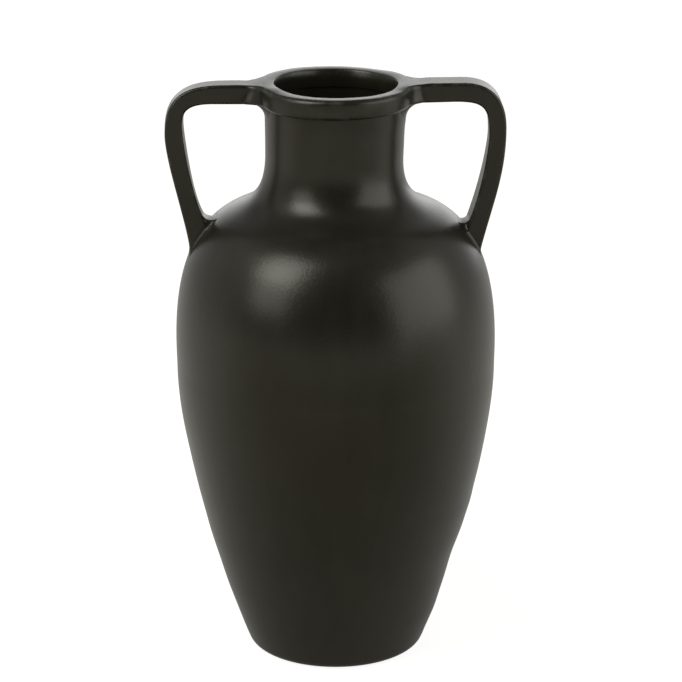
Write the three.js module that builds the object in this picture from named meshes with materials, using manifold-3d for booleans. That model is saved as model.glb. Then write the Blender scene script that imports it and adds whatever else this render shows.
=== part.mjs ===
// A two-handled vase of fired clay: a floor disc, two wall sections, a neck, a rim band and two strap
// handles, each set on its neighbour the way a potter lutes them together with slip.
// Millimetres, +Z up. The origin is the centre of the underside and the handles lie along X.

import * as THREE from 'three';
import { mergeVertices } from 'three/addons/utils/BufferGeometryUtils.js';
import Module from 'manifold-3d';

const wasm = await Module();
wasm.setup();

// Heights, stacked from the ground up.
const footSeatHeight = 6; // outer edge of the floor disc, where the lower wall stands
const bellyHeight = 256; // ground to the seam at the belly, where the wall is upright
const shoulderHeight = 181.4; // that seam to the base of the neck
const neckHeight = 45.6; // base of the neck to the underside of the rim band
const rimBandHeight = 17; // underside of the rim band to its flat top

// Outline of the outer surface.
const footRadius = 76.3; // outermost point of the foot's rounded edge
const footRounding = 8; // radius of the foot's rounded edge
const footLean = THREE.MathUtils.degToRad(25.2); // lean of the wall above the foot, from upright
const footPull = 13; // how long the wall keeps that lean
const bellyRadius = 135.8; // at the belly seam
const bellyPull = 88; // how slowly the wall turns upright below the belly
const crownPull = 15.7; // how long it stays upright above the belly
const bendRadius = 89.3; // where the round shoulder turns into the hollow of the neck
const bendDrop = 46.8; // that place, below the base of the neck
const bendLean = THREE.MathUtils.degToRad(66.2); // its lean inwards, from upright
const shoulderPull = 59.5; // fullness of the round shoulder
const hollowPull = 20; // how long the hollow keeps the lean of the bend
const neckPull = 31.6; // how slowly the hollow turns upright
const neckBaseRadius = 58.15;
const neckTopRadius = 59.05;
const rimBandOverhang = 4.55; // how far the rim band stands out from the top of the neck
const rimRounding = 3; // rounded outer edges of the rim band
const lipRounding = 1.6; // rounded edge of the mouth

// Clay and joints.
const wallThickness = 7.2;
const lapHeight = 6; // height of the tongue that each section has inside the next one
const slipGap = 0.3; // room for slip between luted pieces

// Strap handles.
const handleReach = 143.4; // axis of the vase to the outermost point of a handle
const handleRise = 1.4; // handle top above the rim's flat top
const limbRise = 2; // underside of the level limb above the underside of the rim band
const strapWidth = 20.4; // across the strap, along Y
const uprightThickness = 15; // the upright limb, at the outermost point
const strapRounding = 2; // long edges of the strap
const reachDrop = 42; // handle top to the outermost point
const outerCornerRun = 44; // outermost point in to the start of the outer corner
const innerCornerRun = 27; // the same for the inside of the corner
const outerCornerPull = 0.68; // squareness of a corner: 0.55 is round, 1 is square
const innerCornerPull = 0.83;
const outerRootHeight = 99; // where the strap's outer edge meets the shoulder, above the belly
const innerRootHeight = 120; // the same for its inner edge, if the fillet there were left out
const rootDepth = 4.4; // how far the strap is drawn into the shoulder before the seat is cut
const outerRootLean = 0.2; // sideways run of the outer edge for each millimetre of height
const innerRootLean = 0.38;
const outerUpperPull = 31; // how long the outer edge stays upright
const innerUpperPull = 9;
const outerLowerPull = 36; // how long the outer edge keeps its lean above the root
const innerLowerPull = 30;
const crotchHeight = 7.5; // height of the fillet between the strap's inner edge and the shoulder
const armpitCover = 9.5; // how far the fillet between limb and neck reaches out past the rim band
const flareRadius = 14; // fillets in plan where the limb spreads into the rim band
const filletSink = 1.5; // how far inside the neck and the band these fillets start

// Fineness of the faceted surfaces.
const turnSteps = 60; // facets round the vase
const lowerWallSteps = 12; // steps up a section of the wall
const shoulderSteps = 24;
const neckSteps = 3;
const roundSteps = 3; // steps round a small edge
const strapSteps = 8; // steps along a strap curve

const neckBaseHeight = bellyHeight + shoulderHeight;
const bandBaseHeight = neckBaseHeight + neckHeight;
const rimHeight = bandBaseHeight + rimBandHeight;
const rimBandRadius = neckTopRadius + rimBandOverhang;
const mouthRadius = neckTopRadius - wallThickness;
const handleTop = rimHeight + handleRise;
const limbBase = bandBaseHeight + limbRise;
const buriedRadius = neckTopRadius / 2; // where a handle starts, before its seat is cut

const point = (x, y) => new THREE.Vector2(x, y);

// The outer surface above the foot's rounded edge, as curves of radius against height.

const footArcCentre = point(footRadius - footRounding, footRounding);
const footArcEnd = point(
  footArcCentre.x + footRounding * Math.cos(footLean),
  footArcCentre.y - footRounding * Math.sin(footLean),
);
const bend = point(bendRadius, neckBaseHeight - bendDrop);
const inwards = point(-Math.sin(bendLean), Math.cos(bendLean));

const outerLine = new THREE.CurvePath();
outerLine.curves = [
  new THREE.CubicBezierCurve(
    footArcEnd,
    point(footArcEnd.x + footPull * Math.sin(footLean), footArcEnd.y + footPull * Math.cos(footLean)),
    point(bellyRadius, bellyHeight - bellyPull),
    point(bellyRadius, bellyHeight),
  ),
  new THREE.CubicBezierCurve(
    point(bellyRadius, bellyHeight),
    point(bellyRadius, bellyHeight + crownPull),
    bend.clone().addScaledVector(inwards, -shoulderPull),
    bend,
  ),
  new THREE.CubicBezierCurve(
    bend,
    bend.clone().addScaledVector(inwards, hollowPull),
    point(neckBaseRadius, neckBaseHeight - neckPull),
    point(neckBaseRadius, neckBaseHeight),
  ),
  new THREE.LineCurve(point(neckBaseRadius, neckBaseHeight), point(neckTopRadius, bandBaseHeight)),
];

// Halves the range of a rising function until it holds the wanted value.
function solve(rising, wanted, low, high) {
  for (let i = 0; i < 40; i += 1) {
    const middle = (low + high) / 2;
    if (rising(middle) < wanted) low = middle;
    else high = middle;
  }
  return (low + high) / 2;
}

// How far along the outer surface a height lies, from 0 at the foot to 1 under the rim band.
const placeAt = (height) => solve((u) => outerLine.getPoint(u).y, height, 0, 1);

// The point a given depth below the outer surface, measured square to it.
function wallPoint(outerHeight, depth) {
  const place = placeAt(outerHeight);
  const tangent = outerLine.getTangent(place);
  return outerLine.getPoint(place).add(point(-tangent.y, tangent.x).multiplyScalar(depth));
}

const outerRadius = (height) => wallPoint(height, 0).x;

// The inner surface at a height of its own.
function innerPoint(height) {
  const outerHeight = solve(
    (h) => wallPoint(h, wallThickness).y, height, footArcEnd.y, bandBaseHeight);
  return point(wallPoint(outerHeight, wallThickness).x, height);
}

function evenSteps(from, to, steps) {
  return Array.from({ length: steps + 1 }, (_, i) => from + (to - from) * i / steps);
}

// Heights between two places on the wall, spaced evenly along the outer surface.
function heightsBetween(from, to, steps) {
  const inner = evenSteps(placeAt(from), placeAt(to), steps).slice(1, -1);
  return [from, ...inner.map((u) => outerLine.getPoint(u).y), to];
}

function arcPoints(centre, radius, fromDegrees, toDegrees, steps) {
  return evenSteps(fromDegrees, toDegrees, steps).map((degrees) => {
    const angle = THREE.MathUtils.degToRad(degrees);
    return point(centre.x + radius * Math.cos(angle), centre.y + radius * Math.sin(angle));
  });
}

// A ring turned from a closed outline that keeps clear of the axis, or a disc from one that meets it.
function turned(outline, closed) {
  const points = closed ? [...outline, outline[0].clone()] : outline;
  const geometry = new THREE.LatheGeometry(points, turnSteps);
  return geometry.rotateX(Math.PI / 2);
}

// Lap joints: the inner half of a section's top edge is a tongue inside the section above.

const seamRadius = (height) => outerRadius(height) - wallThickness / 2;

function tongue(seamHeight, innerRadius) {
  return [
    point(seamRadius(seamHeight), seamHeight),
    point(seamRadius(seamHeight), seamHeight + lapHeight),
    point(innerRadius, seamHeight + lapHeight),
  ];
}

function rebate(seamHeight, innerRadius) {
  const top = seamHeight + lapHeight + slipGap;
  return [
    point(innerRadius, top),
    point(seamRadius(seamHeight) + slipGap, top),
    point(seamRadius(seamHeight) + slipGap, seamHeight),
  ];
}

// One section of the wall, from the seam below it to the seam above it.
function wallSection(bottom, top, steps) {
  const outside = heightsBetween(bottom, top, steps).map((h) => wallPoint(h, 0));
  const innerTop = Math.min(top + lapHeight, bandBaseHeight);
  const innerBottom = bottom + lapHeight + slipGap;
  const inside = heightsBetween(innerTop, innerBottom, steps).map(innerPoint);
  return turned([
    ...outside,
    ...tongue(top, inside[0].x),
    ...inside.slice(1, -1),
    ...rebate(bottom, inside.at(-1).x),
  ], true);
}

function floorDisc() {
  const top = footSeatHeight + lapHeight;
  const footLeanDegrees = THREE.MathUtils.radToDeg(footLean);
  return turned([
    point(0, 0),
    ...arcPoints(footArcCentre, footRounding, -90, -footLeanDegrees, roundSteps + 1),
    wallPoint(footSeatHeight, 0),
    point(seamRadius(footSeatHeight), footSeatHeight),
    point(seamRadius(footSeatHeight), top),
    point(0, top),
  ], false);
}

function rimBand() {
  const outer = rimBandRadius - rimRounding;
  return turned([
    ...arcPoints(point(outer, bandBaseHeight + rimRounding), rimRounding, -90, 0, roundSteps),
    ...arcPoints(point(outer, rimHeight - rimRounding), rimRounding, 0, 90, roundSteps),
    ...arcPoints(point(mouthRadius + lipRounding, rimHeight - lipRounding), lipRounding, 90, 180, roundSteps),
    ...rebate(bandBaseHeight, mouthRadius),
  ], true);
}

// Handles.

// Corners that share a place become one vertex, and the triangles that this folds flat are left out.
function toSolid(geometry) {
  geometry.deleteAttribute('normal');
  geometry.deleteAttribute('uv');
  const merged = mergeVertices(geometry, 1e-4);
  const corners = merged.index.array;
  const triangles = [];
  for (let i = 0; i < corners.length; i += 3) {
    const [a, b, c] = corners.slice(i, i + 3);
    if (a !== b && b !== c && c !== a) triangles.push(a, b, c);
  }
  const mesh = new wasm.Mesh({
    numProp: 3,
    vertProperties: new Float32Array(merged.attributes.position.array),
    triVerts: new Uint32Array(triangles),
  });
  return new wasm.Manifold(mesh);
}

function toGeometry(solid) {
  const mesh = solid.getMesh();
  const geometry = new THREE.BufferGeometry();
  geometry.setAttribute('position', new THREE.BufferAttribute(mesh.vertProperties, 3));
  geometry.setIndex(new THREE.BufferAttribute(mesh.triVerts, 1));
  geometry.computeVertexNormals();
  return geometry;
}

// The strap seen from the front: out along the rim, round the corner and down to the shoulder.
function strapShape() {
  const innerReach = handleReach - uprightThickness;
  const reachHeight = handleTop - reachDrop;
  const outerStart = handleReach - outerCornerRun;
  const innerStart = innerReach - innerCornerRun;
  const outerDrop = handleTop - reachHeight;
  const innerDrop = limbBase - reachHeight;
  const onShoulder = (height) => point(outerRadius(bellyHeight + height), bellyHeight + height);
  const outerRoot = onShoulder(outerRootHeight);
  const innerRoot = onShoulder(innerRootHeight);
  const crotchToe = onShoulder(innerRootHeight + crotchHeight);
  const crotchTop = point(innerRoot.x + crotchHeight * innerRootLean, innerRoot.y + crotchHeight);
  const armpitReach = rimBandRadius + armpitCover;
  const armpitRadius = armpitReach - neckTopRadius + filletSink;

  const shape = new THREE.Shape();
  shape.moveTo(buriedRadius, handleTop);
  shape.lineTo(outerStart, handleTop);
  shape.bezierCurveTo(
    outerStart + outerCornerPull * outerCornerRun, handleTop,
    handleReach, reachHeight + outerCornerPull * outerDrop,
    handleReach, reachHeight,
  );
  shape.bezierCurveTo(
    handleReach, reachHeight - outerUpperPull,
    outerRoot.x + outerLowerPull * outerRootLean, outerRoot.y + outerLowerPull,
    outerRoot.x, outerRoot.y,
  );
  shape.lineTo(outerRoot.x - rootDepth, outerRoot.y);
  shape.lineTo(crotchToe.x - rootDepth, crotchToe.y - rootDepth);
  shape.lineTo(crotchToe.x - rootDepth, crotchToe.y);
  shape.quadraticCurveTo(innerRoot.x, innerRoot.y, crotchTop.x, crotchTop.y);
  shape.bezierCurveTo(
    crotchTop.x + innerLowerPull * innerRootLean, crotchTop.y + innerLowerPull,
    innerReach, reachHeight - innerUpperPull,
    innerReach, reachHeight,
  );
  shape.bezierCurveTo(
    innerReach, reachHeight + innerCornerPull * innerDrop,
    innerStart + innerCornerPull * innerCornerRun, limbBase,
    innerStart, limbBase,
  );
  shape.absarc(armpitReach, limbBase - armpitRadius, armpitRadius, Math.PI / 2, Math.PI, false);
  shape.lineTo(buriedRadius, limbBase - armpitRadius);
  return shape;
}

// The limb seen from above, where it spreads into the round of the rim band.
function flareShape() {
  const half = strapWidth / 2;
  const fromAxis = rimBandRadius - filletSink + flareRadius;
  const centreX = Math.sqrt(fromAxis ** 2 - (half + flareRadius) ** 2);
  const spread = Math.atan2(half + flareRadius, centreX);
  const buriedX = buriedRadius * Math.cos(spread);
  const buriedY = buriedRadius * Math.sin(spread);

  const shape = new THREE.Shape();
  shape.moveTo(buriedX, -buriedY);
  shape.absarc(centreX, -half - flareRadius, flareRadius, Math.PI - spread, Math.PI / 2, true);
  shape.lineTo(centreX, half);
  shape.absarc(centreX, half + flareRadius, flareRadius, -Math.PI / 2, spread - Math.PI, true);
  shape.lineTo(buriedX, buriedY);
  return shape;
}

// What the handles are cut by: the vase from the belly up, swollen by the slip gap.
function seatCutter() {
  const wall = [
    ...heightsBetween(bellyHeight, neckBaseHeight, shoulderSteps),
    bandBaseHeight - slipGap,
  ].map((h) => wallPoint(h, -slipGap));
  const bandEdge = point(rimBandRadius - rimRounding, bandBaseHeight + rimRounding);
  return toSolid(turned([
    point(0, bellyHeight),
    ...wall,
    ...arcPoints(bandEdge, rimRounding + slipGap, -90, 0, roundSteps),
    point(rimBandRadius + slipGap, handleTop + slipGap),
    point(0, handleTop + slipGap),
  ], false));
}

function handle(side) {
  const strap = new THREE.ExtrudeGeometry(strapShape(), {
    depth: strapWidth - 2 * strapRounding,
    bevelThickness: strapRounding,
    bevelSize: strapRounding,
    bevelOffset: -strapRounding,
    bevelSegments: roundSteps,
    curveSegments: strapSteps,
  }).translate(0, 0, strapRounding - strapWidth / 2).rotateX(Math.PI / 2);
  const flare = new THREE.ExtrudeGeometry(flareShape(), {
    depth: rimHeight - limbBase,
    bevelEnabled: false,
    curveSegments: strapSteps,
  }).translate(0, 0, limbBase);
  const solid = toSolid(strap).add(toSolid(flare)).subtract(seatCutter());
  const geometry = toGeometry(solid);
  return side === 'left' ? geometry.rotateZ(Math.PI) : geometry;
}

// Every piece has the same dark olive-charcoal satin coat.
function satinCoat() {
  return new THREE.MeshStandardMaterial({ color: 0x2d2b25, roughness: 0.42, metalness: 0 });
}

function piece(name, geometry) {
  const mesh = new THREE.Mesh(geometry, satinCoat());
  mesh.name = name;
  return mesh;
}

const vase = new THREE.Group();
vase.add(
  piece('floor_disc', floorDisc()),
  piece('lower_wall', wallSection(footSeatHeight, bellyHeight, lowerWallSteps)),
  piece('shoulder_wall', wallSection(bellyHeight, neckBaseHeight, shoulderSteps)),
  piece('neck', wallSection(neckBaseHeight, bandBaseHeight, neckSteps)),
  piece('rim_band', rimBand()),
  piece('left_handle', handle('left')),
  piece('right_handle', handle('right')),
);

export default vase;
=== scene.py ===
import math

import bpy
import numpy as np
from mathutils import Matrix, Vector


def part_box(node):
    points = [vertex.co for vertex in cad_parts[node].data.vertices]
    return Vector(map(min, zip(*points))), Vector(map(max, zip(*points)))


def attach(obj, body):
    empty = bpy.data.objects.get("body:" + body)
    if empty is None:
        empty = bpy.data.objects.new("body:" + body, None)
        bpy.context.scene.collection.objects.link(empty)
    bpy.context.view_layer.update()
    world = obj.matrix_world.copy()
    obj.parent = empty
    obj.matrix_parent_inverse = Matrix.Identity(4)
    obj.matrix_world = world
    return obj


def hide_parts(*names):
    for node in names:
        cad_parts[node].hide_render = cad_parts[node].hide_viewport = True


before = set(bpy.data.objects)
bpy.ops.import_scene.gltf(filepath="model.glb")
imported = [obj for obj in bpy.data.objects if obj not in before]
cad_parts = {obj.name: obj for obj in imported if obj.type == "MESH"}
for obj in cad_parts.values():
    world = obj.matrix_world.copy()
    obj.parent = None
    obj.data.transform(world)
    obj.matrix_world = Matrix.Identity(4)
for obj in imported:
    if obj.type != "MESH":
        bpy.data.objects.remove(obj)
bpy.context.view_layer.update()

mm = 0.001
print("frame loaded:", len(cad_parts), "nodes")


# Shader and geometry node trees

class Wire:
    def __init__(self, board, socket):
        self.board = board
        self.socket = socket

    def __add__(self, other):
        return self.board.math("ADD", self, other)

    def __radd__(self, other):
        return self.board.math("ADD", other, self)

    def __sub__(self, other):
        return self.board.math("SUBTRACT", self, other)

    def __rsub__(self, other):
        return self.board.math("SUBTRACT", other, self)

    def __mul__(self, other):
        return self.board.math("MULTIPLY", self, other)

    def __rmul__(self, other):
        return self.board.math("MULTIPLY", other, self)


class Board:
    def __init__(self, tree):
        self.tree = tree

    def add(self, kind, settings=None, values=None, out=0):
        made = self.tree.nodes.new(kind)
        for name, setting in (settings or {}).items():
            setattr(made, name, setting)
        for name, value in (values or {}).items():
            if isinstance(value, Wire):
                self.tree.links.new(value.socket, made.inputs[name])
            else:
                made.inputs[name].default_value = value
        return Wire(self, made.outputs[out])

    def math(self, operation, first, second):
        return self.add("ShaderNodeMath", {"operation": operation}, {0: first, 1: second})

    def blend(self, share, first, second):  # colours, the first one where the share is 0
        return self.add("ShaderNodeMix", {"data_type": "RGBA"}, {0: share, 6: first, 7: second}, out=2)

    def band(self, value, low, high):  # 0 below low, 1 above high, smooth between
        return self.add("ShaderNodeMapRange", {"interpolation_type": "SMOOTHSTEP"},
                        {"Value": value, "From Min": low, "From Max": high})


# The outer surface, foot to rim, in millimetres

wallShape = {
    "footRadius": 77.0, "footRounding": 10.2, "footLean": math.radians(25.2), "footPull": 13.0,
    "bellyRadius": 135.8, "bellyPull": 88.0, "crownPull": 15.7,
    "bendRadius": 89.3, "bendDrop": 46.8, "bendLean": math.radians(66.2),
    "shoulderPull": 59.5, "hollowPull": 20.0, "neckPull": 31.6,
    "neckBaseRadius": 58.15, "neckTopRadius": 59.05,
    "bandRadius": 65.3, "bandRounding": 4.0, "mouthInset": 1.6, "lipWidth": 2.4, "lipDepth": 15.0,
    "wall": 7.2, "lap": 6.0, "slipGap": 0.3, "pinhole": 0.05,
    "facets": 256, "curveSteps": 90, "footSteps": 10, "neckSteps": 12, "edgeSteps": 6, "lipSteps": 14,
}

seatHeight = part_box("lower_wall")[0][2] / mm  # each section's outer face starts where its node starts
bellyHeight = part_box("shoulder_wall")[0][2] / mm
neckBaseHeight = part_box("neck")[0][2] / mm
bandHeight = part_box("rim_band")[0][2] / mm
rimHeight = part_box("rim_band")[1][2] / mm
mouthRadius = wallShape["neckTopRadius"] - wallShape["wall"] - wallShape["mouthInset"]


def bezier(a, b, c, d, steps):
    t = np.linspace(0, 1, steps + 1)[:, None]
    a, b, c, d = (np.array(p, float) for p in (a, b, c, d))
    return (1 - t) ** 3 * a + 3 * (1 - t) ** 2 * t * b + 3 * (1 - t) * t ** 2 * c + t ** 3 * d


def arc(centre, radius, fromAngle, toAngle, steps):
    angles = np.radians(np.linspace(fromAngle, toAngle, steps + 1))
    return np.array(centre) + radius * np.stack([np.cos(angles), np.sin(angles)], axis=1)


def outerCurve():
    s = wallShape
    steps = s["curveSteps"]
    centre = (s["footRadius"] - s["footRounding"], s["footRounding"])
    foot = arc(centre, s["footRounding"], -90, -math.degrees(s["footLean"]), s["footSteps"])
    lean = np.array([math.sin(s["footLean"]), math.cos(s["footLean"])])
    inwards = np.array([-math.sin(s["bendLean"]), math.cos(s["bendLean"])])
    bend = np.array([s["bendRadius"], neckBaseHeight - s["bendDrop"]])
    lower = bezier(foot[-1], foot[-1] + s["footPull"] * lean,
                   (s["bellyRadius"], bellyHeight - s["bellyPull"]), (s["bellyRadius"], bellyHeight), steps)
    shoulder = bezier(lower[-1], (s["bellyRadius"], bellyHeight + s["crownPull"]),
                      bend - s["shoulderPull"] * inwards, bend, steps)
    hollow = bezier(bend, bend + s["hollowPull"] * inwards,
                    (s["neckBaseRadius"], neckBaseHeight - s["neckPull"]),
                    (s["neckBaseRadius"], neckBaseHeight), steps // 2)
    neck = np.linspace(hollow[-1], (s["neckTopRadius"], bandHeight), s["neckSteps"] + 1)
    return foot, np.concatenate([lower, shoulder[1:], hollow[1:], neck[1:]])


footArc, wallCurve = outerCurve()


def inset(curve, depth):  # the curve moved square to itself, towards the axis
    run = np.gradient(curve, axis=0)
    run /= np.linalg.norm(run, axis=1)[:, None]
    return curve + depth * np.stack([-run[:, 1], run[:, 0]], axis=1)


innerCurve = inset(wallCurve, wallShape["wall"])


def radiusAt(curve, height):
    return float(np.interp(height, curve[:, 1], curve[:, 0]))


def stretch(curve, low, high):  # the part of a curve between two heights, ends included
    apart = 0.01  # no point this close to an end, which gets its own
    inside = curve[(curve[:, 1] > low + apart) & (curve[:, 1] < high - apart)]
    return [(radiusAt(curve, low), low), *map(tuple, inside), (radiusAt(curve, high), high)]


def tongue(seam, innerRadius):
    middle = radiusAt(wallCurve, seam) - wallShape["wall"] / 2
    return [(middle, seam), (middle, seam + wallShape["lap"]), (innerRadius, seam + wallShape["lap"])]


def rebate(seam, innerRadius):
    middle = radiusAt(wallCurve, seam) - wallShape["wall"] / 2 + wallShape["slipGap"]
    top = seam + wallShape["lap"] + wallShape["slipGap"]
    return [(innerRadius, top), (middle, top), (middle, seam)]


def sectionOutline(low, high):
    outside = stretch(wallCurve, low, high)
    innerLow = low + wallShape["lap"] + wallShape["slipGap"]
    inside = stretch(innerCurve, innerLow, min(high + wallShape["lap"], innerCurve[-1, 1]))[::-1]
    return outside + tongue(high, inside[0][0]) + inside[1:-1] + rebate(low, inside[-1][0])


def floorOutline():
    top = seatHeight + wallShape["lap"]
    middle = radiusAt(wallCurve, seatHeight) - wallShape["wall"] / 2
    centre = wallShape["pinhole"]  # the swept ring leaves a hole on the axis, filled afterwards
    return [(centre, 0.0), *map(tuple, footArc), (radiusAt(wallCurve, seatHeight), seatHeight),
            (middle, seatHeight), (middle, top), (centre, top)]


def bandOutline():
    s = wallShape
    outer = s["bandRadius"] - s["bandRounding"]
    lower = arc((outer, bandHeight + s["bandRounding"]), s["bandRounding"], -90, 0, s["edgeSteps"])
    upper = arc((outer, rimHeight - s["bandRounding"]), s["bandRounding"], 0, 90, s["edgeSteps"])
    lip = arc((0, 0), 1, 90, 180, s["lipSteps"]) * (s["lipWidth"], s["lipDepth"])
    lip += (mouthRadius + s["lipWidth"], rimHeight - s["lipDepth"])
    return [*map(tuple, lower), *map(tuple, upper), *map(tuple, lip), *rebate(bandHeight, mouthRadius)]


def rising(value, low, high):  # 0 below low, 1 above high, smooth between
    t = np.clip((value - low) / (high - low), 0, 1)
    return t * t * (3 - 2 * t)


def swell(height, middle, spread):  # 1 at the middle height, less above and below
    return np.exp(-((height - middle) / spread) ** 2)


# Small unevenness of a vase shaped by hand, the same for every piece, in millimetres. A drift goes
# sideways: its height, how far up and down it reaches, and its shift. A flank goes out on one side, +X
# or -X: height, reach, side, how far out. Each pair is a span of height, radius or distance from the
# middle, in which a move fades in or out.

handShape = {
    "drifts": [(250, 70, 0.35), (158, 28, 0.5), (122, 20, 0.3)],
    "flanks": [(134, 10, 1, 0.6), (112, 14, 1, 0.3), (84, 18, 1, -1.2), (34, 12, 1, 0.8),
               (184, 24, -1, -0.45), (108, 16, -1, 0.3), (58, 16, -1, 0.35)],
    "neckDrifts": [(414, 30, -0.95), (389, 7, -0.8)],
    "neckFlanks": [(473, 8, 1, 1.0)],
    "neckEdge": (78, 96),
    "shoulderRise": 0.5, "shoulderSide": (55, 80), "shoulderFoot": (340, 372), "shoulderTop": (405, 440),
    "shoulderEdge": (108, 122),
    "mouthEdge": (62, 76), "mouthDrift": 0.85, "mouthDriftFrom": (486, 498),
    "bandForward": 0.7, "bandForwardFrom": (468, 484),
    "lipForward": 1.2, "lipForwardFrom": (484, 496), "lipEdge": (54, 61),
}

# The rim band rises towards the handles: side, where the rise starts and ends, how high it goes, how much
# nearer the handle it starts in front, and the share of it that is left in front

rimShape = {
    "rises": [(-1, 0, 50, 1.35, 22, 1), (-1, 42, 60, 0.7, 0, 0),
              (1, 36, 60, 1.0, 11, 1), (1, 2, 24, -0.35, 7, 1), (1, 34, 56, 0.35, 11, 1)],
    "risesFrom": {-1: (455, 484), 1: (488, 499)},  # height, for each side
    "front": (10, 40), "forward": (-25, 20), "edge": (54, 64),
}


def shapedByHand(points):
    s = handShape
    moved = points.copy()
    x, y, height = points.T
    radius = np.maximum(np.hypot(x, y), 1e-9)
    neck = 1 - rising(radius, *s["neckEdge"])
    for drifts, flanks, share in ((s["drifts"], s["flanks"], 1), (s["neckDrifts"], s["neckFlanks"], neck)):
        for middle, spread, shift in drifts:
            moved[:, 0] += shift * share * swell(height, middle, spread)
        for middle, spread, side, out in flanks:
            facing = np.clip(side * x / radius, 0, 1) ** 2 * share
            moved[:, 0] += side * out * facing * swell(height, middle, spread)
    leftShoulder = rising(-x, *s["shoulderSide"]) * (1 - rising(radius, *s["shoulderEdge"]))
    leftShoulder *= rising(height, *s["shoulderFoot"]) * (1 - rising(height, *s["shoulderTop"]))
    moved[:, 2] += s["shoulderRise"] * leftShoulder
    mouth = 1 - rising(radius, *s["mouthEdge"])
    moved[:, 0] += s["mouthDrift"] * mouth * rising(height, *s["mouthDriftFrom"])
    moved[:, 1] -= s["bandForward"] * mouth * rising(height, *s["bandForwardFrom"])
    lip = 1 - rising(radius, *s["lipEdge"])
    moved[:, 1] -= s["lipForward"] * lip * rising(height, *s["lipForwardFrom"])
    later = rising(-y, *rimShape["front"]) * (1 + rising(radius, *rimShape["edge"]))
    forward = rising(-y, *rimShape["forward"])
    for side, low, high, rise, delay, frontShare in rimShape["rises"]:
        along = rising(side * x - delay * later, low, high) * (1 - (1 - frontShare) * forward)
        moved[:, 2] += rise * mouth * along * rising(height, *rimShape["risesFrom"][side])
    return moved


rubShape = {
    "bandInset": 1.3, "lipShare": 0.4, "lipInset": 1.5, "footInset": 3.0, "spread": 6.0,
    "sharpFrom": math.radians(40),
}


def rubbedRings(points):  # how much the round edges of the turned sections stand out to be rubbed
    s = rubShape
    bandEdge = wallShape["bandRadius"] - s["bandInset"]
    rings = [(bandEdge, rimHeight - s["bandInset"]), (bandEdge, bandHeight + s["bandInset"]),
             (mouthRadius + s["lipShare"] * wallShape["lipWidth"], rimHeight - s["lipInset"]),
             (wallShape["footRadius"] - s["footInset"], s["footInset"])]
    radius = np.hypot(points[:, 0], points[:, 1])
    return sum(np.exp(-((radius - r) ** 2 + (points[:, 2] - z) ** 2) / s["spread"]) for r, z in rings)


def finishPiece(name, vertices, faces, material, replaced, rubbed=None):
    mesh = bpy.data.meshes.new(name)
    mesh.from_pydata((shapedByHand(np.asarray(vertices, float)) * mm).tolist(), [], faces)
    worn = rubbedRings(vertices) if rubbed is None else rubbed
    mesh.attributes.new("worn", "FLOAT", "POINT").data.foreach_set("value", worn)
    mesh.materials.append(material)
    mesh.shade_smooth()
    mesh.set_sharp_from_angle(angle=rubShape["sharpFrom"])
    made = bpy.data.objects.new(name, mesh)
    bpy.context.collection.objects.link(made)
    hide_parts(replaced)
    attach(made, "root")
    return made


# Turned sections: an outline swept round the axis by geometry nodes

def turningTree():
    tree = bpy.data.node_groups.new("turned_on_the_wheel", "GeometryNodeTree")
    face = tree.interface
    face.new_socket("Outline", in_out="INPUT", socket_type="NodeSocketGeometry")
    facets = face.new_socket("Facets", in_out="INPUT", socket_type="NodeSocketInt")
    facets.default_value = wallShape["facets"]
    wheel = face.new_socket("Wheel Radius", in_out="INPUT", socket_type="NodeSocketFloat")
    coat = face.new_socket("Coat", in_out="INPUT", socket_type="NodeSocketMaterial")
    face.new_socket("Clay", in_out="OUTPUT", socket_type="NodeSocketGeometry")
    board = Board(tree)
    given = tree.nodes.new("NodeGroupInput")
    ring = board.add("GeometryNodeCurvePrimitiveCircle", {"mode": "RADIUS"}, {
        "Resolution": Wire(board, given.outputs["Facets"]),
        "Radius": Wire(board, given.outputs["Wheel Radius"])})
    outline = board.add("GeometryNodeMeshToCurve", None, {"Mesh": Wire(board, given.outputs["Outline"])})
    swept = board.add("GeometryNodeCurveToMesh", None, {"Curve": ring, "Profile Curve": outline})
    whole = board.add("GeometryNodeRealizeInstances", None, {"Geometry": swept})
    coated = board.add("GeometryNodeSetMaterial", None, {
        "Geometry": whole, "Material": Wire(board, given.outputs["Coat"])})
    result = tree.nodes.new("NodeGroupOutput")
    tree.links.new(coated.socket, result.inputs["Clay"])
    return tree, facets.identifier, wheel.identifier, coat.identifier


wheelRadius = 50.0  # radius of the circle that carries the outline


def turned(outline, material):  # vertices in millimetres and faces of the swept outline
    points = [((radius - wheelRadius) * mm, -height * mm, 0.0) for radius, height in outline]
    count = len(points)
    profile = bpy.data.meshes.new("outline")
    profile.from_pydata(points, [(i, (i + 1) % count) for i in range(count)], [])
    carrier = bpy.data.objects.new("outline", profile)
    bpy.context.collection.objects.link(carrier)
    tree, facetsId, wheelId, coatId = turning
    turner = carrier.modifiers.new("turn", "NODES")
    turner.node_group = tree
    turner[facetsId] = wallShape["facets"]
    turner[wheelId] = wheelRadius * mm
    turner[coatId] = material
    dressed = carrier.evaluated_get(bpy.context.evaluated_depsgraph_get())
    swept = bpy.data.meshes.new_from_object(dressed)
    vertices = np.array([tuple(v.co) for v in swept.vertices]) / mm
    faces = [tuple(p.vertices) for p in swept.polygons]
    if signedVolume(vertices, faces) < 0:
        faces = [face[::-1] for face in faces]
    bpy.data.objects.remove(carrier)
    return vertices, faces


def signedVolume(vertices, faces):
    corners = np.array([face[:4] for face in faces if len(face) == 4])
    a, b, c, d = (vertices[corners[:, k]] for k in range(4))
    return float(np.einsum("ij,ij->", a, np.cross(b, c)) + np.einsum("ij,ij->", a, np.cross(c, d))) / 6


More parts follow.
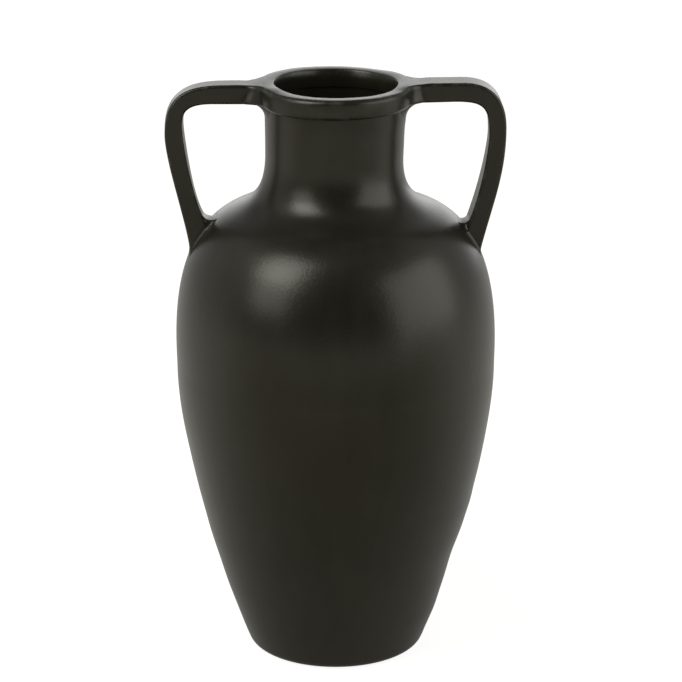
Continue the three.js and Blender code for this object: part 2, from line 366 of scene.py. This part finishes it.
def closedOnAxis(vertices, faces):  # draws each rim of the pinhole together to a single point
    near = np.hypot(vertices[:, 0], vertices[:, 1]) < 2 * wallShape["pinhole"]
    vertices = vertices.copy()
    lower = near & (vertices[:, 2] < seatHeight)
    upper = near & ~lower
    keep = np.arange(len(vertices))
    for rim in (lower, upper):
        found = np.flatnonzero(rim)
        vertices[found[0], :2] = 0
        keep[found] = found[0]
    made = []
    for face in faces:
        corners = list(dict.fromkeys(int(keep[v]) for v in face))
        if len(corners) > 2 and not all(near[v] for v in face):
            made.append(tuple(corners))
    used = sorted({v for face in made for v in face})
    place = {v: i for i, v in enumerate(used)}
    return vertices[used], [tuple(place[v] for v in face) for face in made]


# Handles: the strap and the fillets that spread it into the rim band, the neck and the shoulder,
# worked out as distances from the clay's surface and then skinned. The left one is made on the right
# and turned half round.

strapShape = {
    "rounding": 2.2, "riseRun": 16.0, "seamFillet": 2.5, "armpitSpan": (400, 460),
    "rootShift": -3.0, "shiftSpan": (365, 460), "twistSpan": (400, 450), "twistEnd": 142.0, "twistFade": 13.0,
    "crotchAside": (8, 13), "crotchOut": (117, 125),  # the fillet inside the handle's root ends here
    "flareSpan": (482, 500), "flareFoot": 4.0, "edgeShare": 0.85, "trimShare": 0.9,
    "seatDepth": 1.2, "topSeatDepth": 4.7, "topSeatSpan": (494, 498),
    "topSunk": 0.12, "sunkEdge": (-4.0, -0.5),  # inside the band, the handle's top lies a little lower
    "start": 40.0, "deepest": 340.0, "cornerSteps": 40, "downSteps": 50,
    "tallTo": 86.0, "tallFade": 2.0, "tallOver": 20.0, "tallPast": 60.0,
}

# How far a strap's flares spread at the band's foot and at its top: the side made at -Y, then the other.
# The left strap is turned afterwards, so its second side is the one in front.

rightStrap = {
    "width": 26.4, "shift": -0.8, "twist": 0.037, "droop": 0.9,
    "armpit": 14.2, "crotch": 9.4, "flares": ((15.0, 9.0), (11.5, 11.5)),
    "outer": {"top": 501.38, "reach": 143.35, "run": 36.6, "drop": 40.3, "pullAlong": 0.70, "pullUp": 0.63,
              "upperPull": 38.4, "root": (123.85, 362.0), "lean": 0.25, "lowerPull": 37.6},
    "inner": {"top": 485.3, "reach": 129.2, "run": 29.6, "drop": 29.6, "pullAlong": 0.85, "pullUp": 0.84,
              "upperPull": 5.0, "root": (114.6, 388.0), "lean": 0.34, "lowerPull": 33.9},
}

leftStrap = {
    "width": 21.4, "shift": 0.0, "twist": 0.07, "droop": 0.8,
    "armpit": 14.5, "crotch": 11.4, "flares": ((14.0, 14.0), (18.5, 10.0)),
    "outer": {"top": 501.15, "reach": 142.7, "run": 51.4, "drop": 43.1, "pullAlong": 0.55, "pullUp": 0.90,
              "upperPull": 19.5, "root": (123.75, 362.0), "lean": 0.10, "lowerPull": 17.5},
    "inner": {"top": 485.0, "reach": 127.3, "run": 24.8, "drop": 18.7, "pullAlong": 0.82, "pullUp": 0.68,
              "upperPull": 12.2, "root": (112.0, 388.0), "lean": 0.45, "lowerPull": 18.2},
}


def strapSide(s):  # one side of the strap, from its level stretch round the corner and down into the clay
    reachHeight = s["top"] - s["drop"]
    start = s["reach"] - s["run"]
    corner = bezier((start, s["top"]), (start + s["pullAlong"] * s["run"], s["top"]),
                    (s["reach"], reachHeight + s["pullUp"] * s["drop"]), (s["reach"], reachHeight),
                    strapShape["cornerSteps"])
    x, z = s["root"]
    down = bezier(corner[-1], (s["reach"], reachHeight - s["upperPull"]),
                  (x + s["lowerPull"] * s["lean"], z + s["lowerPull"]), (x, z), strapShape["downSteps"])
    buried = (x - s["lean"] * (z - strapShape["deepest"]), strapShape["deepest"])
    return np.concatenate([corner, down[1:], [buried]])


def strapOutline(strap):
    top, base = strap["outer"]["top"], strap["inner"]["top"] - strap["droop"]
    ends = [(strapShape["start"], base), (strapShape["start"], top)]
    return np.concatenate([strapSide(strap["outer"]), strapSide(strap["inner"])[::-1], ends])


def tallOutline(strap):  # its level stretch near the band, carried up so that the top is cut separately
    start, top = strapShape["start"], strap["outer"]["top"] + strapShape["tallOver"]
    x, z = strapSide(strap["inner"])[0]
    past = x + strapShape["tallPast"]
    return np.array([(start, z - strap["droop"]), (x, z), (past, z), (past, top), (start, top)])


def outlineDistance(points, outline):  # distance to a closed outline, negative inside it
    best = np.full(len(points), np.inf)
    inside = np.zeros(len(points), bool)
    for a, b in zip(outline, np.roll(outline, -1, axis=0)):
        edge = b - a
        t = np.clip(((points - a) @ edge) / max(edge @ edge, 1e-12), 0, 1)
        best = np.minimum(best, np.sum((points - a - t[:, None] * edge) ** 2, axis=1))
        crosses = (a[1] > points[:, 1]) != (b[1] > points[:, 1])
        with np.errstate(divide="ignore", invalid="ignore"):
            side = points[:, 0] < a[0] + (points[:, 1] - a[1]) * edge[0] / edge[1]
        inside ^= crosses & side
    return np.where(inside, -1, 1) * np.sqrt(best)


class DistanceSheet:  # outlineDistance on a fine grid, read between its points
    def __init__(self, outline, low, high, step):
        self.low, self.step = np.array(low, float), step
        self.count = np.ceil((np.array(high) - self.low) / step).astype(int) + 1
        u, v = np.meshgrid(*(self.low[k] + step * np.arange(self.count[k]) for k in (0, 1)), indexing="ij")
        flat = np.stack([u.ravel(), v.ravel()], axis=1)
        self.values = outlineDistance(flat, outline).reshape(self.count)

    def read(self, x, y):
        last = self.count - 1.001  # just short of the last point, so that each has a next one
        u = np.clip((x - self.low[0]) / self.step, 0, last[0])
        v = np.clip((y - self.low[1]) / self.step, 0, last[1])
        i, j = u.astype(int), v.astype(int)
        fu, fv = u - i, v - j
        g = self.values
        return ((1 - fu) * (1 - fv) * g[i, j] + fu * (1 - fv) * g[i + 1, j]
                + (1 - fu) * fv * g[i, j + 1] + fu * fv * g[i + 1, j + 1])


def joined(a, b, fillet):  # distances to two shapes made one, with a fillet where they meet
    return (np.maximum(fillet, np.minimum(a, b))
            - np.hypot(np.maximum(fillet - a, 0), np.maximum(fillet - b, 0)))


def trimmed(a, b, rounding):  # what two shapes share, with its edge rounded
    return (np.minimum(-rounding, np.maximum(a, b))
            + np.hypot(np.maximum(rounding + a, 0), np.maximum(rounding + b, 0)))


sheetShape = {"low": (30, 335), "high": (150, 525), "step": 0.5, "bodyFrom": 250.0, "bodyTo": 560.0}


def distanceSheet(outline):
    return DistanceSheet(outline, sheetShape["low"], sheetShape["high"], sheetShape["step"])


def bodySheet(upperRadius):  # the vase from the belly up, carried straight on above the neck
    low, high = sheetShape["bodyFrom"], sheetShape["bodyTo"]
    tall = [(upperRadius, bandHeight), (upperRadius, high), (0.0, high), (0.0, low)]
    return distanceSheet(np.concatenate([wallCurve[wallCurve[:, 1] > low], tall]))


bandSheet = bodySheet(wallShape["bandRadius"])
neckSheet = bodySheet(wallShape["neckTopRadius"])


def handleField(strap):
    s = strapShape
    bandRadius = wallShape["bandRadius"]
    top, base = strap["outer"]["top"], strap["inner"]["top"] - strap["droop"] / 2
    strapSheet = distanceSheet(strapOutline(strap))
    tallSheet = distanceSheet(tallOutline(strap))

    def field(p):
        x, y, z = p.T
        radius = np.hypot(x, y)
        upper = rising(z, *s["shiftSpan"])
        aside = y - s["rootShift"] * (1 - upper) - strap["shift"] * upper
        straight = np.clip((s["twistEnd"] - x) / s["twistFade"], 0, 1)
        twisted = x - strap["twist"] * y * rising(z, *s["twistSpan"]) * straight
        wall = bandSheet.read(radius, z)
        neck = neckSheet.read(radius, z)
        across = np.abs(aside) - strap["width"] / 2
        limb = trimmed(across, strapSheet.read(twisted, z), s["rounding"])
        tall = trimmed(across, tallSheet.read(twisted, z), s["rounding"])
        inside = (1 - rising(np.abs(aside), *s["crotchAside"])) * (1 - rising(x, *s["crotchOut"]))
        root = s["seamFillet"] + (strap["crotch"] - s["seamFillet"]) * inside
        fillet = root + (strap["armpit"] - root) * rising(z, *s["armpitSpan"])
        low, high = (np.where(y < 0, *pair) for pair in zip(*strap["flares"]))
        flare = low + (high - low) * rising(z, *s["flareSpan"])

        def onVase(shape):  # the strap's shape run into the neck below and the band beside it
            beside = trimmed(joined(wall, shape, flare), base - z, s["rounding"])
            return np.minimum(joined(neck, shape, fillet), beside)

        sunk = s["topSunk"] * (1 - rising(radius, *(bandRadius + edge for edge in s["sunkEdge"])))
        outwards = rising(radius, bandRadius, bandRadius + s["riseRun"])
        level = rimHeight - sunk + (top - rimHeight) * outwards
        toBand = rising(tall, 0, s["edgeShare"] * flare)
        edge = s["rounding"] + (wallShape["bandRounding"] - s["rounding"]) * toBand
        cut = trimmed(onVase(tall), z - level, edge)
        past = rising(x, s["tallTo"] - s["tallFade"], s["tallTo"] + s["tallFade"])
        clay = cut + (onVase(limb) - cut) * past
        widest = np.maximum(fillet, flare * rising(z, base - s["flareFoot"], base))
        beyond = np.where(x < s["tallTo"], tall, limb) - s["trimShare"] * widest
        seat = s["seatDepth"] + (s["topSeatDepth"] - s["seatDepth"]) * rising(z, *s["topSeatSpan"])
        return np.maximum(clay, np.maximum(-wall - seat, beyond))

    return field


def skin(field, low, high, cell):  # one point in each cell that the surface crosses, joined by quads
    counts = np.ceil((np.array(high) - low) / cell).astype(int) + 1
    axes = [low[k] + cell * np.arange(counts[k]) for k in range(3)]
    grid = np.stack(np.meshgrid(*axes, indexing="ij"), axis=-1)
    values = field(grid.reshape(-1, 3)).reshape(counts)
    sums = np.zeros((*(counts - 1), 3))
    hits = np.zeros(counts - 1)
    crossings = []
    for axis in range(3):
        first = [slice(None)] * 3
        second = [slice(None)] * 3
        first[axis], second[axis] = slice(0, -1), slice(1, None)
        a, b = values[tuple(first)], values[tuple(second)]
        i, j, k = np.nonzero((a < 0) != (b < 0))
        share = a[i, j, k] / (a[i, j, k] - b[i, j, k])
        spot = grid[i, j, k].copy()
        spot[:, axis] += share * cell
        one, two = [n for n in range(3) if n != axis]
        cells = []
        for d1, d2 in ((1, 1), (0, 1), (0, 0), (1, 0)):
            c = np.stack([i, j, k], axis=1)
            c[:, one] -= d1
            c[:, two] -= d2
            np.add.at(sums, tuple(c.T), spot)
            np.add.at(hits, tuple(c.T), 1)
            cells.append(c)
        crossings.append((np.stack(cells, axis=1), (a[i, j, k] < 0) != (axis == 1)))
    filled = hits > 0
    number = np.full(hits.shape, -1)
    number[filled] = np.arange(filled.sum())
    points = sums[filled] / hits[filled][:, None]
    faces = []
    for cells, outward in crossings:
        corners = number[cells[..., 0], cells[..., 1], cells[..., 2]]
        faces += [tuple(map(int, q if out else q[::-1])) for q, out in zip(corners, outward)]
    return points, faces


skinShape = {
    "cell": 0.8, "fromAxis": 50.0, "fromHeight": 345.0, "room": 2.0, "roomAside": 8.0, "roomAbove": 3.0,
    "rounds": 3, "slopeStep": 0.05, "leastSlope": 0.25, "longestMove": 0.5,
    "bendStep": 0.8, "bendFrom": 0.1, "bendSpan": 0.35,
}


def settle(points, field):  # moves each point square onto the surface
    s = skinShape
    small = s["slopeStep"]
    for _ in range(s["rounds"]):
        value = field(points)
        slope = np.stack([(field(points + small * step) - field(points - small * step)) / (2 * small)
                          for step in np.eye(3)], axis=1)
        steep = np.maximum(np.sum(slope ** 2, axis=1), s["leastSlope"])
        move = np.clip(value / steep, -s["longestMove"], s["longestMove"])
        points = points - move[:, None] * slope
    return points


def handleSkin(strap):  # points, faces, and how much each point stands out to be rubbed
    s = skinShape
    field = handleField(strap)
    half = strap["width"] / 2 + max(max(pair) for pair in strap["flares"]) + s["roomAside"]
    low = np.array([s["fromAxis"], -half, s["fromHeight"]])
    high = np.array([strap["outer"]["reach"] + s["room"], half, rimHeight + s["roomAbove"]])
    points, faces = skin(field, low, high, s["cell"])
    points = settle(points, field)
    step = s["bendStep"]
    around = [field(points + step * way) + field(points - step * way) for way in np.eye(3)]
    bend = (sum(around) - 6 * field(points)) / step ** 2  # how sharply the surface turns outwards
    return points, faces, np.clip((bend - s["bendFrom"]) / s["bendSpan"], 0, 1)


# The dark olive-charcoal satin coat

coatLook = {
    "dark": (0.0098, 0.0092, 0.0056, 1), "light": (0.0150, 0.0142, 0.0091, 1), "shadeSpan": (0.35, 0.65),
    "sheenTint": (1.0, 0.98, 0.86, 1), "ior": 1.5,
    "roughness": 0.30, "roughnessSpread": 0.06,
    "clouds": (9.0, 4.0, 0.55), "brush": (2.0, 5.0, 0.5),  # scale, detail and roughness of each noise
    "grain": (420.0, 3.0, 0.6), "daubs": (26.0, 2.0, 0.5), "patches": (95.0, 4.0, 0.65),
    "brushFlow": (30, 30, 6), "brushShare": 0.4,
    "rubbed": (0.040, 0.036, 0.026, 1), "rubbedRoughness": 0.10, "patchSpan": (0.47, 0.66),
    "grainDepth": 0.25, "grainHeight": 0.0004, "daubDepth": 0.10, "daubHeight": 0.0008,
}


def satinCoat(name):
    s = coatLook
    material = bpy.data.materials.new(name)
    material.use_nodes = True
    tree = material.node_tree
    tree.nodes.clear()
    board = Board(tree)
    place = board.add("ShaderNodeTexCoord", out="Object")

    def noise(kind, vector):
        scale, detail, roughness = s[kind]
        return board.add("ShaderNodeTexNoise", None, {
            "Vector": vector, "Scale": scale, "Detail": detail, "Roughness": roughness})

    clouds = noise("clouds", place)
    grain = noise("grain", place)
    brush = noise("brush", board.add("ShaderNodeMapping", None, {"Vector": place, "Scale": s["brushFlow"]}))
    worn = board.add("ShaderNodeAttribute", {"attribute_name": "worn"}, out="Fac")
    rubbed = worn * board.band(noise("patches", place), *s["patchSpan"])
    shade = board.band(clouds * (1 - s["brushShare"]) + brush * s["brushShare"], *s["shadeSpan"])
    colour = board.blend(rubbed, board.blend(shade, s["dark"], s["light"]), s["rubbed"])
    rough = s["roughness"] + (clouds - 0.5) * s["roughnessSpread"] + (grain - 0.5) * s["roughnessSpread"]
    rough = rough + rubbed * s["rubbedRoughness"]
    smoothed = board.add("ShaderNodeBump", None, {
        "Strength": s["daubDepth"], "Distance": s["daubHeight"], "Height": noise("daubs", place)})
    bump = board.add("ShaderNodeBump", None, {
        "Strength": s["grainDepth"], "Distance": s["grainHeight"], "Height": grain, "Normal": smoothed})
    surface = board.add("ShaderNodeBsdfPrincipled", None, {
        "Base Color": colour, "Roughness": rough, "IOR": s["ior"], "Specular Tint": s["sheenTint"],
        "Normal": bump})
    result = tree.nodes.new("ShaderNodeOutputMaterial")
    tree.links.new(surface.socket, result.inputs["Surface"])
    return material


# Floor, world, lamps and camera

floorLook = {
    "size": 9.0, "colour": (0.31, 0.298, 0.248, 1),
    "glow": 0.88,  # added to its lit colour where the camera looks at it
    # The sheen is a painted glow on the floor that only reflections see: painted reflected light, brighter
    # towards the back, the sides and far in front, standing in for light that falls off towards the camera.
    "sheen": 0.41, "sheenSpan": (-0.45, 0.5),  # what the gloss sees of it, more from front to back
    "sideShare": 0.4,  # and more to the sides
    "farSheen": 0.35, "farSpan": (0.7, 1.4),  # and far out in front
}


def rayKinds(board):
    paths = board.tree.nodes.new("ShaderNodeLightPath")
    kinds = ("Is Camera Ray", "Is Glossy Ray", "Is Transmission Ray")
    return [Wire(board, paths.outputs[kind]) for kind in kinds]


def parts(board, vector):  # X, Y and Z of a vector
    split = board.tree.nodes.new("ShaderNodeSeparateXYZ")
    board.tree.links.new(vector.socket, split.inputs[0])
    return [Wire(board, split.outputs[axis]) for axis in "XYZ"]


def layFloor():
    s = floorLook
    half = s["size"] / 2
    mesh = bpy.data.meshes.new("floor")
    corners = [(-half, -half, 0), (half, -half, 0), (half, half, 0), (-half, half, 0)]
    mesh.from_pydata(corners, [], [(0, 1, 2, 3)])
    floor = bpy.data.objects.new("floor", mesh)
    bpy.context.collection.objects.link(floor)
    material = bpy.data.materials.new("pale_floor")
    material.use_nodes = True
    tree = material.node_tree
    tree.nodes.clear()
    board = Board(tree)
    matt = board.add("ShaderNodeBsdfDiffuse", None, {"Color": s["colour"]})
    camera, glossy, transmission = rayKinds(board)
    side, depth, _ = parts(board, board.add("ShaderNodeTexCoord", out="Object"))
    # painted reflected light: a glow that only glossy rays see, brighter towards the back, the sides and far
    # in front
    aside = board.math("ABSOLUTE", side, 0) * s["sideShare"]
    near = board.band(depth + aside, *s["sheenSpan"]) * s["sheen"]
    sheen = near + board.band(0 - depth, *s["farSpan"]) * s["farSheen"]
    strength = (camera + transmission) * s["glow"] + glossy * sheen
    glow = board.add("ShaderNodeEmission", None, {"Strength": strength})
    both = board.add("ShaderNodeAddShader", None, {0: matt, 1: glow})
    result = tree.nodes.new("ShaderNodeOutputMaterial")
    tree.links.new(both.socket, result.inputs["Surface"])
    mesh.materials.append(material)


worldLook = {
    "ambient": 0.42,  # what lights the clay and the floor from all round
    "backdrop": 1.42, "backdropSide": (0.17, 0.985), "backdropSpan": (0.76, 0.97),
    "backdropTop": (0.27, 0.52),
    "walls": 0.44, "wallsSpan": (-0.5, 0.1), "ceiling": 0.08, "ceilingSpan": (0.7, 0.95),
    "dimBehind": 0.8, "dimDepth": (0.45, 0.85), "dimHeight": (0.2, 0.42),  # the walls above the backdrop
}


def lightWorld():  # white to the camera; the gloss sees a pale backdrop, dim walls and a dark front
    s = worldLook
    world = bpy.data.worlds.new("studio")
    bpy.context.scene.world = world
    world.use_nodes = True
    tree = world.node_tree
    tree.nodes.clear()
    board = Board(tree)
    side, depth, height = parts(board, board.add("ShaderNodeTexCoord", out="Generated"))
    sideX, sideY = s["backdropSide"]
    behind = board.band(side * sideX + depth * sideY, *s["backdropSpan"])
    backdrop = behind * (1 - board.band(height, *s["backdropTop"])) * s["backdrop"]
    above = board.band(height, *s["ceilingSpan"])
    dimmed = board.band(depth, *s["dimDepth"]) * board.band(height, *s["dimHeight"]) * s["dimBehind"]
    walls = board.band(depth, *s["wallsSpan"]) * (1 - above) * s["walls"] * (1 - dimmed)
    studio = backdrop + walls + above * s["ceiling"]
    camera, glossy, transmission = rayKinds(board)
    mirrored = glossy + transmission
    strength = camera + (1 - camera) * (mirrored * studio + (1 - mirrored) * s["ambient"])
    back = board.add("ShaderNodeBackground", None, {"Color": (1, 1, 1, 1), "Strength": strength})
    result = tree.nodes.new("ShaderNodeOutputWorld")
    tree.links.new(back.socket, result.inputs["Surface"])


lampAim = (0, 0, 0.3)
lampPlan = {
    "left_softbox": {"place": (-1.75, -1.27, 1.61), "size": (1.3, 2.0), "power": 16.0},
    "left_core": {"place": (-1.44, -1.01, 2.217), "size": (1.3, 1.5), "power": 20.5},
    "right_softbox": {"place": (2.209, -0.938, 1.12), "size": (2.44, 2.0), "power": 26.0},
}


def hangLamps():
    for name, s in lampPlan.items():
        lamp = bpy.data.lights.new(name, "AREA")
        lamp.shape = "RECTANGLE"
        lamp.size, lamp.size_y = s["size"]
        lamp.energy = s["power"]
        holder = bpy.data.objects.new(name, lamp)
        holder.location = s["place"]
        turn = (Vector(lampAim) - Vector(s["place"])).to_track_quat("-Z", "Y")
        holder.rotation_euler = turn.to_euler()
        bpy.context.collection.objects.link(holder)


cameraPlan = {
    "place": (-0.1134, -2.5975, 1.1210), "aim": (0.0049, -0.0002, 0.2733),
    "lens": 168.5, "sensor": 36.0, "roll": -0.0014,
}


def setCamera():
    s = cameraPlan
    lens = bpy.data.cameras.new("camera")
    lens.lens = s["lens"]
    lens.sensor_width = s["sensor"]
    holder = bpy.data.objects.new("camera", lens)
    turn = (Vector(s["aim"]) - Vector(s["place"])).to_track_quat("-Z", "Y").to_matrix().to_4x4()
    holder.matrix_world = Matrix.Translation(s["place"]) @ turn @ Matrix.Rotation(s["roll"], 4, "Z")
    bpy.context.collection.objects.link(holder)
    bpy.context.scene.camera = holder


bpy.context.scene.view_settings.view_transform = "Standard"
setCamera()
layFloor()
lightWorld()
hangLamps()
print("stage set")

coat = satinCoat("satin_clay_coat")
turning = turningTree()
sections = {
    "lower_wall": sectionOutline(seatHeight, bellyHeight),
    "shoulder_wall": sectionOutline(bellyHeight, neckBaseHeight),
    "neck": sectionOutline(neckBaseHeight, bandHeight),
    "rim_band": bandOutline(),
}
for node, outline in sections.items():
    finishPiece(node + "_clay", *turned(outline, coat), coat, node)
finishPiece("floor_disc_clay", *closedOnAxis(*turned(floorOutline(), coat)), coat, "floor_disc")
print("turned sections made")

rightPoints, rightFaces, rightWorn = handleSkin(rightStrap)
finishPiece("right_handle_clay", rightPoints, rightFaces, coat, "right_handle", rightWorn)
leftPoints, leftFaces, leftWorn = handleSkin(leftStrap)
leftPoints = leftPoints * np.array([-1, -1, 1])
finishPiece("left_handle_clay", leftPoints, leftFaces, coat, "left_handle", leftWorn)
print("handles made")
